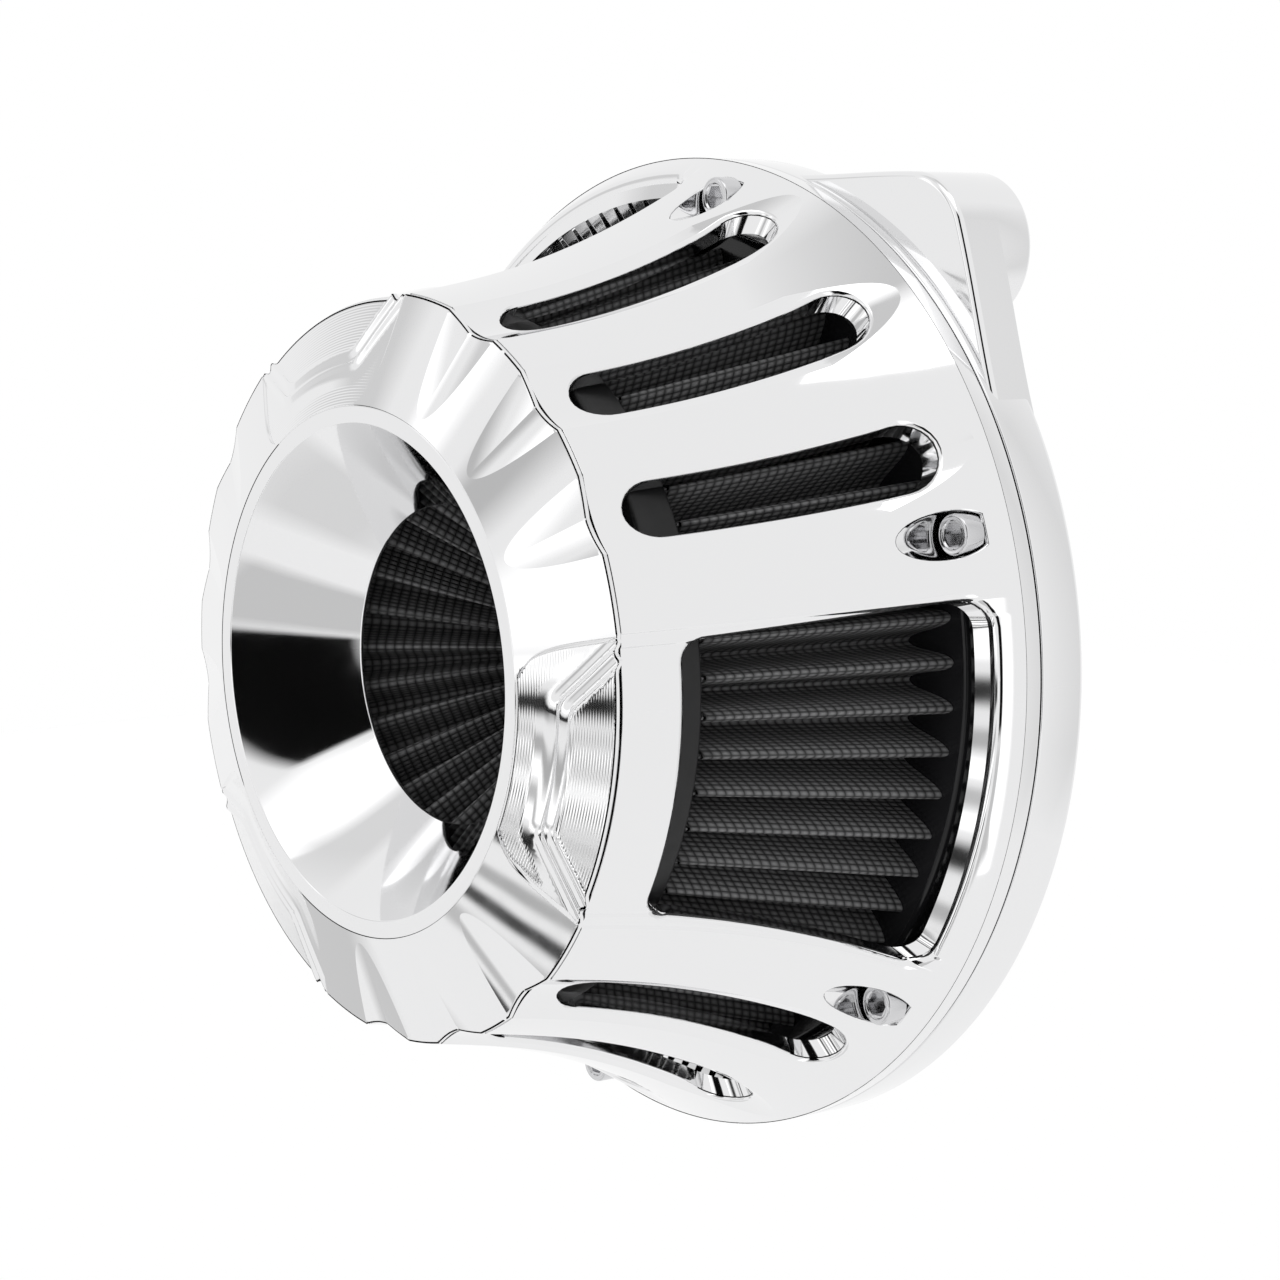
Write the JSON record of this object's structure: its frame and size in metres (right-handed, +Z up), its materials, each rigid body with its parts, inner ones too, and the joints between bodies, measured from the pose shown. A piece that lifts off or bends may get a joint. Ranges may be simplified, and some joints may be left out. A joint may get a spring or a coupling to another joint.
{
  "type": "motorcycle air filter",
  "caption": "Open-element air filter: slotted chrome bell cover with a velocity-stack nose over a pleated two-cone filter on a round backplate with one ear.",
  "frame": {"origin": "on the throttle-bore axis, at the rear face of the backplate's hub, which seats on the throttle body", "axes": "-Y out of the mouth along the intake axis, +Z up, +X to the right as seen from the front; the ear points up and to +X"},
  "size_m": [0.18, 0.094, 0.18],
  "materials": {
    "plated_casting": "polished and chrome plated, mirror bright",
    "screw_steel": "bright plated steel",
    "filter_gauze": "pleated black gauze under a fine wire mesh",
    "urethane": "moulded black urethane, slight gloss",
    "seal_rubber": "matt black"
  },
  "bodies": {
    "backplate": {"backplate": "plated_casting", "throttle_o_ring": "seal_rubber", "throttle_screw_1": "screw_steel", "throttle_screw_2": "screw_steel", "throttle_screw_3": "screw_steel"},
    "filter": {"filter_rear_ring": "urethane", "filter_outer_media": "filter_gauze", "filter_front_cap": "urethane", "filter_inner_media": "filter_gauze", "filter_inner_cap": "urethane"},
    "cover": {"cover_shell": "plated_casting", "velocity_stack": "plated_casting", "stack_o_ring": "seal_rubber", "stack_screw_1": "screw_steel", "stack_screw_2": "screw_steel", "stack_screw_3": "screw_steel", "cover_screw_1": "screw_steel", "cover_screw_2": "screw_steel", "cover_screw_3": "screw_steel", "cover_screw_4": "screw_steel", "cover_screw_5": "screw_steel", "cover_screw_6": "screw_steel"}
  },
  "joints": [
    {"name": "cover_removal", "type": "slide", "parent": "backplate", "child": "cover", "axis": [0, -1, 0], "range_m": [0, 0.11]},
    {"name": "filter_removal", "type": "slide", "parent": "backplate", "child": "filter", "axis": [0, -1, 0], "range_m": [0, 0.055]}
  ],
  "couplings": [
    {"joint": "filter_removal", "follows": "cover_removal", "ratio": 0.5}
  ]
}
